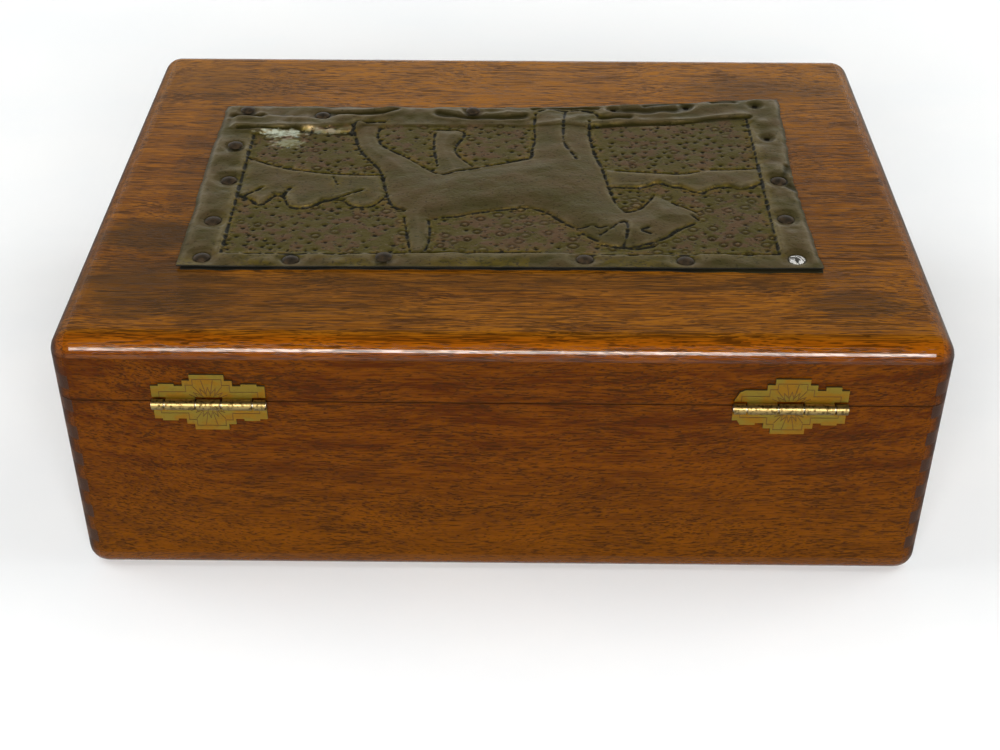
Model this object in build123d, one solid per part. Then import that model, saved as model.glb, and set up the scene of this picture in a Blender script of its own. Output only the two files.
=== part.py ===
from build123d import *
import math
import os

# A small finger-jointed hardwood box. It was glued up closed, its edges were rounded over, and
# the lid was then sawn free. Two pressed brass hinges are spiked to the back, and a thin embossed
# copper-alloy plaque is nailed to the lid.
#
# Frame, in millimetres: +Z up, -Y the front, +Y the hinge side, +X the right-hand side as seen
# from the front. The origin is the centre of the bottom face.

os.makedirs("parts", exist_ok=True)

# ---- driving dimensions: the box ----
WIDTH = 229.0            # 9 in, left to right
DEPTH = 171.0            # 6 3/4 in, front to back
HEIGHT = 76.0            # 3 in, lid closed
WALL = 4.4               # front, back and end boards
TOP_THICK = 5.2          # lid panel, laid over the boards
BOTTOM_THICK = 5.5       # bottom panel, laid under the boards
EDGE_ROUND = 6.0         # round-over on the upright corners and the top edges
FOOT_ROUND = 4.5         # round-over on the bottom edges

# ---- driving dimensions: the saw cut between the lid and the base ----
SEAM = 57.75             # height of the cut, and of the hinge axis
SEAM_GAP = 0.2           # what is left open when the lid is down
KERF = 1.7               # wood that the saw took, missing from the finger spacing above the cut

# ---- driving dimensions: the finger joints ----
FINGER_COUNT = 7         # end-board fingers at each corner: six in the base, one in the lid
FIRST_FINGER = 8.9       # underside of the lowest end-board finger
FINGER_PITCH = 8.95
FINGER_WIDTH = 4.25      # end-board fingers; the front and back boards fill the rest

# ---- driving dimensions: the hinges ----
HINGE_CENTRES = {"left": -73.6, "right": 74.6}
HINGE_LENGTH = 29.0
LEAF_THICK = 0.6
BARREL_RADIUS = 1.4
BARREL_LIFT = 1.5        # barrel centre above the wood
PIN_RADIUS = 0.75
PIN_CLEARANCE = 0.05     # radial, in the knuckles that turn
PIN_PROUD = 0.2          # pin past each end of the barrel
KNUCKLE_LENGTHS = (3.0, 7.5, 6.0, 7.5, 3.0)   # the odd ones belong to the lower leaf
KNUCKLE_GAP = 0.5
LEAF_STEPS = ((14.5, 5.2), (6.35, 6.9), (4.4, 8.7))   # half width and reach, from the wing to the tab
LEAF_START = 0.15        # the plate stops this far short of the hinge axis
PRONG_CENTRE = 10.5      # to each side of the hinge's middle
PRONG_WIDTH = 4.0
PRONG_TIP = 1.2
PRONG_DEPTH = 3.2        # into the wood
PRONG_CREEP = 0.5        # how far the left hinge's outer upper prong has worked loose
LINE_WIDTH = 0.24        # the pressed pattern
LINE_DEPTH = 0.12
LINE_STEPS = ((12.6, 3.4), (5.6, 5.5), (3.7, 7.3))    # the frame line, inside the leaf's outline
RAYS = ((12, 7.1), (36, 6.2), (62, 5.4))              # the fan: angle from upright, and reach
RAY_START = 2.3
PETAL_FOOT = 2.8
PETAL_TIP = 4.8
TORN_WING = ((14.8, 1.0), (14.8, 5.5), (11.2, 5.5), (13.2, 4.5))     # left hinge, upper leaf
FRAYED_WING = ((14.8, 5.5), (14.8, 4.4), (13.2, 4.3), (12.6, 5.5))   # left hinge, lower leaf

# ---- driving dimensions: the plaque and its nails ----
SHEET = 0.5
PLAQUE_OUTLINE = (       # hand-cut, so no two sides are parallel
    (-86.9, -51.8), (-58.0, -48.6), (-22.0, -45.2), (20.0, -43.8), (87.6, -44.2),
    (88.0, -14.0), (87.3, 26.0), (87.2, 51.2), (30.0, 51.0), (-40.0, 50.6), (-85.4, 50.2),
    (-84.6, 22.0), (-84.2, 2.0), (-85.8, -26.0),
)
DRIVEN_NAILS = (
    (81.0, 46.5), (57.0, 47.4), (-22.0, 46.0), (-49.0, 46.5),
    (81.0, 27.0), (80.0, 4.0), (-79.0, 24.0), (-80.0, 2.0), (57.0, -38.0),
)
LIFTED_NAILS = ((32.0, 47.0), (81.0, -16.0), (80.5, -39.5), (10.0, -40.0))
BRIGHT_NAIL = (-79.0, 45.5)
EMPTY_HOLES = ((-80.0, -24.5), (-79.0, -46.5), (-57.0, -45.0), (-34.0, -43.0))
NAIL_LIFT = 1.0          # how far the lifted heads stand off the sheet
SHANK_RADIUS = 0.8
SHANK_LENGTH = 4.6       # under the head
SHANK_POINT = 1.2        # length of the taper at the tip
SHANK_TIP = 0.15
HEAD_RADIUS = 2.2
HEAD_RIM = 0.25
HEAD_DOME = 0.95

# ---- worked out from them ----
HALF_W = WIDTH / 2
HALF_D = DEPTH / 2
TOP_FACE = HEIGHT - TOP_THICK
BASE_RIM = SEAM - SEAM_GAP / 2
LID_RIM = SEAM + SEAM_GAP / 2
AXIS_Y = HALF_D + BARREL_LIFT


def block(low, high):
    """A box from its lowest to its highest corner."""
    size = [b - a for a, b in zip(low, high)]
    centre = [(a + b) / 2 for a, b in zip(low, high)]
    return Pos(*centre) * Box(*size)


# ---- the outer shape of the closed box, which every board is cut to ----
envelope = block((-HALF_W, -HALF_D, 0), (HALF_W, HALF_D, HEIGHT))
upper_edges = envelope.edges().filter_by(Axis.Z) + envelope.edges().group_by(Axis.Z)[-1]
envelope = fillet(upper_edges, EDGE_ROUND)
envelope = fillet(envelope.edges().group_by(Axis.Z)[0], FOOT_ROUND)


# ---- boards ----
def finger_spans(floor, ceiling):
    """Heights of the end boards' fingers between two levels."""
    spans = []
    for n in range(FINGER_COUNT):
        low = FIRST_FINGER + n * FINGER_PITCH
        if low > SEAM:
            low -= KERF
        low, high = max(low, floor), min(low + FINGER_WIDTH, ceiling)
        if high > low:
            spans.append((low, high))
    return spans


def spaces_between(spans, floor, ceiling):
    """What the other boards' fingers fill: the heights that the spans leave free."""
    marks = [floor] + [level for span in spans for level in span] + [ceiling]
    pairs = zip(marks[::2], marks[1::2])
    return [(low, high) for low, high in pairs if high > low]


def end_board(side, floor, ceiling, spans):
    """The left (-1) or right (+1) board, with its fingers at the front and back corners."""
    inner, outer = sorted((side * (HALF_W - WALL), side * HALF_W))
    board = block((inner, -HALF_D + WALL, floor), (outer, HALF_D - WALL, ceiling))
    for low, high in spans:
        board += block((inner, -HALF_D, low), (outer, HALF_D, high))
    return board & envelope


def long_board(side, floor, ceiling, spans):
    """The front (-1) or back (+1) board, with its fingers at the two ends."""
    inner, outer = sorted((side * (HALF_D - WALL), side * HALF_D))
    board = block((-HALF_W + WALL, inner, floor), (HALF_W - WALL, outer, ceiling))
    for low, high in spans:
        board += block((-HALF_W, inner, low), (HALF_W, outer, high))
    return board & envelope


def frame_of_boards(name, floor, ceiling):
    """The four boards of the base or the lid, by node name."""
    ends = finger_spans(floor, ceiling)
    longs = spaces_between(ends, floor, ceiling)
    return {
        name + "_left_board": end_board(-1, floor, ceiling, ends),
        name + "_right_board": end_board(1, floor, ceiling, ends),
        name + "_front_board": long_board(-1, floor, ceiling, longs),
        name + "_back_board": long_board(1, floor, ceiling, longs),
    }


nodes = {}
nodes.update(frame_of_boards("base", BOTTOM_THICK, BASE_RIM))
nodes.update(frame_of_boards("lid", LID_RIM, TOP_FACE))
nodes["base_bottom_panel"] = block((-HALF_W, -HALF_D, 0), (HALF_W, HALF_D, BOTTOM_THICK)) & envelope
nodes["lid_top_panel"] = block((-HALF_W, -HALF_D, TOP_FACE), (HALF_W, HALF_D, HEIGHT)) & envelope


# ---- hinges: drawn with the pin's axis at the origin and the wood at y = -BARREL_LIFT ----
def knuckle_spans():
    """Where each of the five knuckles starts and ends along the pin."""
    spans = []
    start = -HINGE_LENGTH / 2
    for length in KNUCKLE_LENGTHS:
        spans.append((start, start + length))
        start += length + KNUCKLE_GAP
    return spans


def tube(start, end, radius):
    """A round bar along the pin's axis."""
    bar = Cylinder(radius, end - start, rotation=(0, 90, 0))
    return Pos((start + end) / 2, 0, 0) * bar


def prong(side, creep=0.0):
    """One of a leaf's spikes: folded back from the wing's edge and driven into the wood."""
    reach = LEAF_STEPS[0][1]
    root = -BARREL_LIFT + LEAF_THICK
    tip = -BARREL_LIFT - PRONG_DEPTH
    middle = side * PRONG_CENTRE
    outline = Polyline(
        (middle - PRONG_WIDTH / 2, root), (middle + PRONG_WIDTH / 2, root),
        (middle + PRONG_WIDTH / 2, -BARREL_LIFT), (middle + PRONG_TIP / 2, tip),
        (middle - PRONG_TIP / 2, tip), (middle - PRONG_WIDTH / 2, -BARREL_LIFT), close=True)
    return Pos(0, 0, reach) * extrude(make_face(outline), LEAF_THICK + creep)


def score(start, end):
    """A line pressed into a leaf's face, from one point (x, z) to another."""
    across, up = end[0] - start[0], end[1] - start[1]
    bar = Box(math.hypot(across, up) + LINE_WIDTH, 2 * LINE_DEPTH, LINE_WIDTH)
    middle = ((start[0] + end[0]) / 2, -BARREL_LIFT + LEAF_THICK, (start[1] + end[1]) / 2)
    return Pos(*middle) * Rot(0, -math.degrees(math.atan2(up, across)), 0) * bar


def on_ray(angle, radius):
    """A point of the fan: an angle from upright and a distance from the hinge's middle."""
    return radius * math.sin(math.radians(angle)), radius * math.cos(math.radians(angle))


def pattern():
    """The pressed lines: a stepped frame inside the outline, and a fan with a petal between rays."""
    frame = [(LINE_STEPS[0][0], BARREL_RADIUS + LINE_WIDTH)]
    for n, (half_width, reach) in enumerate(LINE_STEPS):
        inner = LINE_STEPS[n + 1][0] if n + 1 < len(LINE_STEPS) else 0.0
        frame += [(half_width, reach), (inner, reach)]
    lines = list(zip(frame, frame[1:]))
    for angle, reach in RAYS:
        lines.append((on_ray(angle, RAY_START), on_ray(angle, reach)))
    for (low, _), (high, _) in zip(RAYS, RAYS[1:]):
        tip = on_ray((low + high) / 2, PETAL_TIP)
        lines += [(on_ray(low, PETAL_FOOT), tip), (on_ray(high, PETAL_FOOT), tip)]
    lines.append((on_ray(RAYS[0][0], PETAL_FOOT), on_ray(0, PETAL_TIP)))
    marks = [score(start, end) for start, end in lines]
    return marks + [mirror(mark, Plane.YZ) for mark in marks]


def leaf(own_knuckles, bore, prongs, worn=()):
    """The upper leaf's shape: a stepped plate, its knuckles round the pin, and its prongs."""
    back, front = -BARREL_LIFT, -BARREL_LIFT + LEAF_THICK
    clear = BARREL_RADIUS + PIN_CLEARANCE + SEAM_GAP
    plate = None
    for half_width, reach in LEAF_STEPS:
        step = block((-half_width, back, LEAF_START), (half_width, front, reach))
        plate = step if plate is None else plate + step
    for mark in pattern():
        plate -= mark
    if worn:
        outline = make_face(Plane.XZ * Polyline(*worn, close=True))
        plate -= extrude(outline, BARREL_LIFT + LEAF_THICK, both=True)
    for n, (start, end) in enumerate(knuckle_spans()):
        if n in own_knuckles:
            plate += tube(start, end, BARREL_RADIUS)
        else:
            near = max(start - KNUCKLE_GAP, -HINGE_LENGTH / 2)
            far = min(end + KNUCKLE_GAP, HINGE_LENGTH / 2)
            plate -= block((near, back, 0), (far, front, clear))
    plate -= tube(-HINGE_LENGTH, HINGE_LENGTH, bore)
    for spike in prongs:
        plate += spike
    return plate


LOWER_KNUCKLES = (0, 2, 4)
UPPER_KNUCKLES = (1, 3)
TURNING_BORE = PIN_RADIUS + PIN_CLEARANCE
hinge_pin = tube(-HINGE_LENGTH / 2 - PIN_PROUD, HINGE_LENGTH / 2 + PIN_PROUD, PIN_RADIUS)
sound_prongs = [prong(-1), prong(1)]
worn_prongs = [prong(-1, PRONG_CREEP)]
hinges = {
    "right": (leaf(UPPER_KNUCKLES, TURNING_BORE, sound_prongs),
              leaf(LOWER_KNUCKLES, PIN_RADIUS, sound_prongs), sound_prongs, sound_prongs),
    "left": (leaf(UPPER_KNUCKLES, TURNING_BORE, worn_prongs, TORN_WING),
             leaf(LOWER_KNUCKLES, PIN_RADIUS, sound_prongs, FRAYED_WING), worn_prongs, sound_prongs),
}
for hand, (upper, lower, upper_prongs, lower_prongs) in hinges.items():
    place = Pos(HINGE_CENTRES[hand], AXIS_Y, SEAM)
    nodes[hand + "_hinge_upper_leaf"] = place * upper
    nodes[hand + "_hinge_lower_leaf"] = place * mirror(lower, Plane.XY)
    nodes[hand + "_hinge_pin"] = place * hinge_pin
    for spike in upper_prongs:
        nodes["lid_back_board"] -= place * spike
    for spike in lower_prongs:
        nodes["base_back_board"] -= place * mirror(spike, Plane.XY)


# ---- plaque and nails ----
def nail(x, y, lift):
    """A domed tack through the sheet, with its head lifted off it by some amount."""
    upward = (Align.CENTER, Align.CENTER, Align.MIN)
    crown = HEAD_DOME - HEAD_RIM
    ball = (HEAD_RADIUS ** 2 + crown ** 2) / (2 * crown)
    head = Cylinder(HEAD_RADIUS, HEAD_DOME, align=upward) & Pos(0, 0, HEAD_DOME - ball) * Sphere(ball)
    straight = SHANK_LENGTH - SHANK_POINT
    shank = Pos(0, 0, -straight) * Cylinder(SHANK_RADIUS, straight, align=upward)
    point = Pos(0, 0, -SHANK_LENGTH) * Cone(SHANK_TIP, SHANK_RADIUS, SHANK_POINT, align=upward)
    return Pos(x, y, HEIGHT + SHEET + lift) * (head + shank + point)


def hole(x, y):
    """What an empty nail hole takes out of the sheet and the wood."""
    depth = SHANK_LENGTH - SHEET
    drill = Cylinder(SHANK_RADIUS, depth + 2 * SHEET, align=(Align.CENTER, Align.CENTER, Align.MIN))
    return Pos(x, y, HEIGHT - depth) * drill


driven = [nail(x, y, 0) for x, y in DRIVEN_NAILS]
lifted = [nail(x, y, NAIL_LIFT) for x, y in LIFTED_NAILS]
bright = nail(*BRIGHT_NAIL, 0)
sheet = extrude(make_face(Polyline(*PLAQUE_OUTLINE, close=True)), SHEET)
nodes["plaque"] = Pos(0, 0, HEIGHT) * sheet
for cutter in driven + lifted + [bright] + [hole(x, y) for x, y in EMPTY_HOLES]:
    nodes["plaque"] -= cutter
    nodes["lid_top_panel"] -= cutter
nodes["driven_nails"] = Compound(children=driven)
nodes["lifted_nails"] = Compound(children=lifted)
nodes["bright_nail"] = bright


# ---- write one file for each piece ----
for name, shape in nodes.items():
    export_step(shape, f"parts/{name}.step")
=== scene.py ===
# %% [markdown]
# # A hinged hardwood box with an embossed plaque
# The box is small enough to hold in two hands: finger-jointed hardwood under old varnish, two
# pressed brass hinges on its back, and a thin copper-alloy sheet nailed to its lid, with a
# terrier worked into it by hand. The joiner's model is already made and arrives as a fixed frame.
# This lesson gives each board, hinge and nail its finish, and works the sheet as a mesh.
#
# Blender counts in metres. A box is easier to think of in millimetres, so most numbers here are
# millimetres, and MM turns them into Blender's units at the last moment.

# %% Load the fixed frame
import math

import bpy
import numpy as np
from mathutils import Matrix, Vector


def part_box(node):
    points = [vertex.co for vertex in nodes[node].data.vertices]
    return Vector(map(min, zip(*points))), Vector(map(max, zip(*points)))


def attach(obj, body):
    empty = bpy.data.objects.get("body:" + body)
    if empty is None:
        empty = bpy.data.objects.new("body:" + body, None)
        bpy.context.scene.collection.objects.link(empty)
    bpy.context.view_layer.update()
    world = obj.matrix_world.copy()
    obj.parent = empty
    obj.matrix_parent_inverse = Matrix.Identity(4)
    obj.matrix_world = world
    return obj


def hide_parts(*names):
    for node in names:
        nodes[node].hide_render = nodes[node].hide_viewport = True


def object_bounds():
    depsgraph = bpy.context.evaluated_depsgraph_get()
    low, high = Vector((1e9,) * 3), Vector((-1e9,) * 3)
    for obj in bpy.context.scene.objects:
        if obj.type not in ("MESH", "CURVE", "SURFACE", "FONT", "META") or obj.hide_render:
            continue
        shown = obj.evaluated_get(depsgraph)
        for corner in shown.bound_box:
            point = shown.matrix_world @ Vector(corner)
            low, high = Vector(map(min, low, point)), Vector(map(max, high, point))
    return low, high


MM = 0.001
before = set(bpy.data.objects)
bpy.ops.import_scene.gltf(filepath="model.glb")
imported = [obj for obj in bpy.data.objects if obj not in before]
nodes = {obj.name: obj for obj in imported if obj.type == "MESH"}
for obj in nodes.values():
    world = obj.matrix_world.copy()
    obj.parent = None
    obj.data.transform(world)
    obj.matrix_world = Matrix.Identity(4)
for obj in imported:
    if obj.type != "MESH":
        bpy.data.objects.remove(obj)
cad_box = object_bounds()
print("frame:", len(nodes), "pieces, from", [round(v, 4) for v in cad_box[0]])

# %% [markdown]
# ## The camera
# A view is a place, a direction and a lens. The camera stands behind the box, because the two
# hinges face it, and looks down on the lid. Yaw, pitch and roll are how one thinks with a camera
# in hand, so the matrix is built from those three instead of from Euler angles.

# %% Camera
CAMERA_PLACE = Vector((-1.84, 402.5, 297.4)) * MM
CAMERA_YAW = math.radians(-0.405)
CAMERA_PITCH = math.radians(36.04)
CAMERA_ROLL = math.radians(0.21)
LENS = 56.01
SENSOR = 36.0


def aimed(yaw, pitch, roll):
    """The turn of a camera that looks along -Y at no yaw, down by pitch, tipped by roll."""
    level = math.cos(pitch)
    ahead = Vector((-math.sin(yaw) * level, -math.cos(yaw) * level, -math.sin(pitch)))
    right = ahead.cross(Vector((0, 0, 1))).normalized()
    up = right.cross(ahead)
    tipped_right = math.cos(roll) * right + math.sin(roll) * up
    tipped_up = -math.sin(roll) * right + math.cos(roll) * up
    return Matrix((tipped_right, tipped_up, -ahead)).transposed().to_4x4()


lens = bpy.data.cameras.new("camera")
lens.lens = LENS
lens.sensor_width = SENSOR
lens.clip_start = 0.01
camera = bpy.data.objects.new("camera", lens)
camera.matrix_world = Matrix.Translation(CAMERA_PLACE) @ aimed(CAMERA_YAW, CAMERA_PITCH, CAMERA_ROLL)
bpy.context.scene.collection.objects.link(camera)
bpy.context.scene.camera = camera
bpy.context.scene.view_settings.view_transform = "Standard"
print("camera stands", round(camera.location.length, 3), "m from the box")

# %% [markdown]
# ## Writing shader sums as Python
# A material is a small machine of nodes. Drawing its arithmetic node by node hides the idea, so
# one class wraps a node's output and lets + - * ** and abs add the Math nodes. The first three
# work in either order. A second class holds a node tree and has the one method, add, that makes
# any other kind of node.


# %% A value in a shader
class Value:
    """An output of a shader node. Arithmetic on it adds Math nodes to its tree."""

    def __init__(self, tree, socket):
        self.tree = tree
        self.socket = socket

    def maths(self, operation, first, second):
        return self.tree.add("Math", {"operation": operation}, {0: first, 1: second})

    def __add__(self, other):
        return self.maths("ADD", self, other)

    def __sub__(self, other):
        return self.maths("SUBTRACT", self, other)

    def __mul__(self, other):
        return self.maths("MULTIPLY", self, other)

    def __pow__(self, other):
        return self.maths("POWER", self, other)

    def __rsub__(self, other):
        return self.maths("SUBTRACT", other, self)

    def __abs__(self):
        return self.tree.add("Math", {"operation": "ABSOLUTE"}, {0: self})

    __radd__ = __add__
    __rmul__ = __mul__


# %% A tree of shader nodes
class Tree:
    """The nodes of one material or world."""

    def __init__(self, owner):
        owner.use_nodes = True
        self.nodes = owner.node_tree.nodes
        self.links = owner.node_tree.links
        self.nodes.clear()

    def add(self, kind, settings, sockets, output=0):
        """Adds a node: its settings first, then the values or links of its sockets."""
        node = self.nodes.new("ShaderNode" + kind)
        for name, setting in settings.items():
            if name == "stops":
                self.fill(node.color_ramp, setting)
            else:
                setattr(node, name, setting)
        for name, given in sockets.items():
            if isinstance(given, Value):
                self.links.new(given.socket, node.inputs[name])
            else:
                node.inputs[name].default_value = given
        return Value(self, node.outputs[output]) if node.outputs else node

    def fill(self, ramp, stops):
        """Sets a colour ramp from pairs of a place and a colour."""
        while len(ramp.elements) < len(stops):
            ramp.elements.new(1.0)
        for element, (place, colour) in zip(ramp.elements, stops):
            element.position = place
            element.color = (*colour, 1.0)

    def mix(self, share, first, second):
        """A colour between two others. Share 0 gives the first and 1 the second."""
        first, second = [c if isinstance(c, Value) else (*c, 1.0) for c in (first, second)]
        return self.add("Mix", {"data_type": "RGBA"}, {0: share, 6: first, 7: second}, 2)

    def step(self, value, low, high):
        """0 below low, 1 above high, and a smooth rise between."""
        ends = {"Value": value, "From Min": low, "From Max": high}
        return self.add("MapRange", {"interpolation_type": "SMOOTHSTEP"}, ends)

    def larger(self, first, second):
        """The larger of two values."""
        return self.add("Math", {"operation": "MAXIMUM"}, {0: first, 1: second})

    def noise(self, place, detail=2.0, roughness=0.5):
        """Smooth random cloud, about one unit of place from lump to lump."""
        sockets = {"Vector": place, "Scale": 1.0, "Detail": detail, "Roughness": roughness}
        return self.add("TexNoise", {}, sockets, "Fac")

    def stretched(self, parts, sizes):
        """A vector of three values, each divided by its own size."""
        axes = {n: part * (1.0 / size) for n, (part, size) in enumerate(zip(parts, sizes))}
        return self.add("CombineXYZ", {}, axes)

    def place_parts(self):
        """Where a point is on the resting object, as three values in millimetres."""
        here = self.add("TexCoord", {}, {}, "Object")
        scaled = self.add("VectorMath", {"operation": "SCALE"}, {0: here, "Scale": 1 / MM})
        return [self.add("SeparateXYZ", {}, {0: scaled}, n) for n in range(3)]

    def facing_parts(self):
        """Which way the surface faces on the resting object, as three values."""
        facing = self.add("TexCoord", {}, {}, "Normal")
        return [self.add("SeparateXYZ", {}, {0: facing}, n) for n in range(3)]


def finish(name, build):
    """A material whose build function takes a tree and returns the Principled sockets."""
    material = bpy.data.materials.new(name)
    tree = Tree(material)
    surface = tree.add("BsdfPrincipled", {}, build(tree))
    tree.add("OutputMaterial", {}, {"Surface": surface})
    print("finish:", name, "with", len(tree.nodes), "nodes")
    return material


# %% [markdown]
# ## Light
# Old varnish shows itself by what it mirrors. A low, wide lamp behind the camera draws the long
# white line along the rounded back edge of the lid. The ceiling above stays dark, so the curve
# just before that line shows deep amber wood with no veil over it; the lid's finish also paints
# that amber, and a deep red below the line, as painted shade. The flat lid mirrors the pale
# far side of the room, which lays a thin grey veil on it. A world whose brightness depends on
# height does most of this. Studio lamps can also be split in two: one here lights only gleams,
# and the side and front lamps light only matt surfaces, so gloss and shade are set one at a time.

# %% Room light
FAR_SIDE = (
    (0.00, (0.88, 0.90, 0.91)),
    (0.12, (0.84, 0.85, 0.86)),
    (0.28, (0.57, 0.55, 0.51)),
    (0.56, (0.41, 0.38, 0.32)),
    (0.72, (0.05, 0.05, 0.05)),
)
LAMP_SIDE = (
    (0.00, (0.55, 0.56, 0.57)),
    (0.12, (0.34, 0.34, 0.34)),
    (0.28, (0.14, 0.14, 0.14)),
    (0.56, (0.06, 0.06, 0.06)),
    (0.72, (0.04, 0.04, 0.04)),
)
world = bpy.data.worlds.new("room")
bpy.context.scene.world = world
room = Tree(world)
direction = room.add("TexCoord", {}, {}, "Generated")
height = room.add("SeparateXYZ", {}, {0: direction}, 2)
behind = room.add("SeparateXYZ", {}, {0: direction}, 1)
far_glow, lamp_glow = [room.add("ValToRGB", {"stops": stops}, {"Fac": height})
                       for stops in (FAR_SIDE, LAMP_SIDE)]
glow = room.mix(room.step(behind, -0.7, 0.0), far_glow, lamp_glow)
backdrop = room.add("Background", {}, {"Color": glow, "Strength": 1.0})
room.add("OutputWorld", {}, {"Surface": backdrop})


# %% Lamps
def soft_lamp(name, place, aim, size, watts, colour=(1, 1, 1), lights="all"):
    """A rectangular lamp at a place in metres, turned to a point."""
    light = bpy.data.lights.new(name, "AREA")
    light.shape = "RECTANGLE"
    light.size, light.size_y = size
    light.energy = watts
    light.color = colour
    lamp = bpy.data.objects.new(name, light)
    toward = Vector(aim) - Vector(place)
    lamp.matrix_world = Matrix.Translation(place) @ toward.to_track_quat("-Z", "Y").to_matrix().to_4x4()
    lamp.visible_diffuse = lights != "gleams"
    lamp.visible_glossy = lights != "matt"
    bpy.context.scene.collection.objects.link(lamp)
    return lamp


LID_HEIGHT = cad_box[1][2]
WINDOW, WINDOW_SIZE = (0.0, 1.35, 0.74), (1.3, 0.36)
soft_lamp("window_lamp", WINDOW, (0, 0, LID_HEIGHT), WINDOW_SIZE, 27)
soft_lamp("window_gleam", WINDOW, (0, 0, LID_HEIGHT), WINDOW_SIZE, 74, (1.0, 0.80, 0.56), "gleams")
for side in (-1, 1):
    soft_lamp(f"side_lamp_{side + 1}", (side * 1.3, -0.15, 1.25), (0, -0.1, 0.03), (1.1, 1.9), 13.5,
              lights="matt")
soft_lamp("front_lamp", (0, -1.5, 0.22), (0, 0, 0.04), (1.5, 0.35), 7, lights="matt")

# %% [markdown]
# ## The floor
# A plain pale sheet, large enough to reach past every view, with the faintest unevenness in its
# tone so that it doesn't look like empty space. Far from the lamps it glows a little, because
# the lamps light only its middle, and a real studio floor runs on into a lit wall.

# %% Floor
FLOOR_HALF = 4.0
corners = [(x * FLOOR_HALF, y * FLOOR_HALF, 0) for x, y in ((-1, -1), (1, -1), (1, 1), (-1, 1))]
sheet_mesh = bpy.data.meshes.new("floor")
sheet_mesh.from_pydata(corners, [], [(0, 1, 2, 3)])
floor = bpy.data.objects.new("floor", sheet_mesh)
bpy.context.scene.collection.objects.link(floor)


def pale_board(tree):
    x, y, z = tree.place_parts()
    cloud = tree.noise(tree.stretched((x, y, z), (90, 60, 60)), 4.0)
    colour = tree.mix(tree.step(cloud, 0.3, 0.7), (0.90, 0.92, 0.93), (0.94, 0.95, 0.95))
    away = (x * x + y * y) ** 0.5
    glow = tree.mix(tree.step(away, 60.0, 1300.0), (0.0, 0.0, 0.0), (0.74, 0.76, 0.77))
    return {"Base Color": colour, "Roughness": 0.6, "Emission Color": glow, "Emission Strength": 1.0}


sheet_mesh.materials.append(finish("pale_board", pale_board))

# %% [markdown]
# ## Varnished hardwood
# The boards are an open-pored red-brown hardwood. Three things make it read as wood: long soft
# bands of tone from its growth, short dark pores that lie along the grain, and broad stains from
# age and handling. Bands and pores are clouds of noise stretched along the grain, sampled in
# space, so a board shows streaks on its faces and small dots on its end grain, as a real one
# does. The stains are ovals with ragged rims.
#
# Most of the varnish has worn thin, and a low roughness with a weak shine is enough for it. Only
# on the rounded back edge of the lid is it still whole, so only there the surface gets a coat.

# %% Wood tones and stains
LID_TONES = ((0.138, 0.043, 0.0016), (0.250, 0.086, 0.0040))
SIDE_TONES = ((0.043, 0.0088, 0.0002), (0.090, 0.0235, 0.0003))
# Painted light: the paler tone laid on the far part of the lid.
FAR_LID_PAINTED_LIGHT = (0.370, 0.150, 0.0140)
# Painted shade: a deeper amber for the lid's rounded back edge, where it mirrors the dark ceiling.
EDGE_SHADE_AMBER = (0.195, 0.044, 0.0008)
HONEY = (0.118, 0.038, 0.0005)
# Painted shade: the deep red below the gleam on the lid's rounded back edge and upper back.
EDGE_SHADE_RED = (0.098, 0.0100, 0.0001)
PORE = (0.024, 0.0080, 0.0012)
END_GRAIN = (0.016, 0.0050, 0.0010)
HANDLED = (0.040, 0.0180, 0.0035)
LID_STAINS = (
    ((98, 34), (14, 9), 0.80), ((94, 58), (22, 15), 0.60), ((86, -62), (26, 12), 0.30),
    ((62, 66), (44, 11), 0.35), ((-92, 66), (15, 7), 0.55), ((-104, 16), (7, 26), 0.15),
    ((-82, -60), (24, 10), 0.50), ((0, 56), (92, 5), 0.45), ((-90, 5), (6, 50), 0.20),
    ((91, -5), (6, 48), 0.35),
)
LID_FACE_FROM, LID_FACE_FULL = 70.9, 74.2
SEAM_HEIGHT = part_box("lid_back_board")[0].z / MM
print("the lid parts from the base", round(SEAM_HEIGHT, 2), "mm up, and has", len(LID_STAINS), "stains")


# %% Pores, stains and varnish
def pore_marks(tree, grain, size, lid_share):
    """1 in a pore, 0 between. Pores come in crowds, and the lid also has a few long dark seams."""
    length, width = size
    edge = 0.70 - grain(24, 6.0, 2.0, 150) * 0.24
    long_marks = tree.step(grain(length, width, 1.0, 220) - edge, -0.03, 0.06)
    short_marks = tree.step(grain(length * 0.4, width * 1.1, 1.0, 310) - edge, -0.01, 0.09)
    seams = tree.step(grain(30, 0.5, 1.0, 410) - edge, -0.03, 0.03) * lid_share
    return tree.larger(tree.larger(long_marks, short_marks), seams * 0.8)


def stained(tree, wood, x, y, cloud, stains, lid_share):
    """The wood under the broad stains on the lid: ovals with ragged rims."""
    for (middle_x, middle_y), (reach_x, reach_y), strength in stains:
        off_x, off_y = (x - middle_x) * (1 / reach_x), (y - middle_y) * (1 / reach_y)
        away = off_x * off_x + off_y * off_y + (cloud - 0.5) * 2.6
        share = (1 - tree.step(away, 0.1, 1.7)) * lid_share
        wood = tree.mix(share * strength, wood, HANDLED)
    return wood


def varnish_left(tree, x, y, z, facing_back, marks, gloss):
    """How much of the varnish is left on the lid's back edge: less in pores, cracks and worn ends."""
    whole = tree.step(facing_back, 0.66, 0.80) * (1 - tree.step(facing_back, 0.885, 0.925))
    crazed = tree.step(tree.noise(tree.stretched((x, y, z), (3.0, 0.7, 0.7)), 2.0), 0.46, 0.60)
    flaws = tree.larger(marks * 0.7, crazed * 0.55)
    worn_end = tree.step(x, 30.0, 80.0) * tree.step(gloss, 0.35, 0.65)
    return whole * (1 - flaws) * (1 - worn_end * 0.7)


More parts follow.
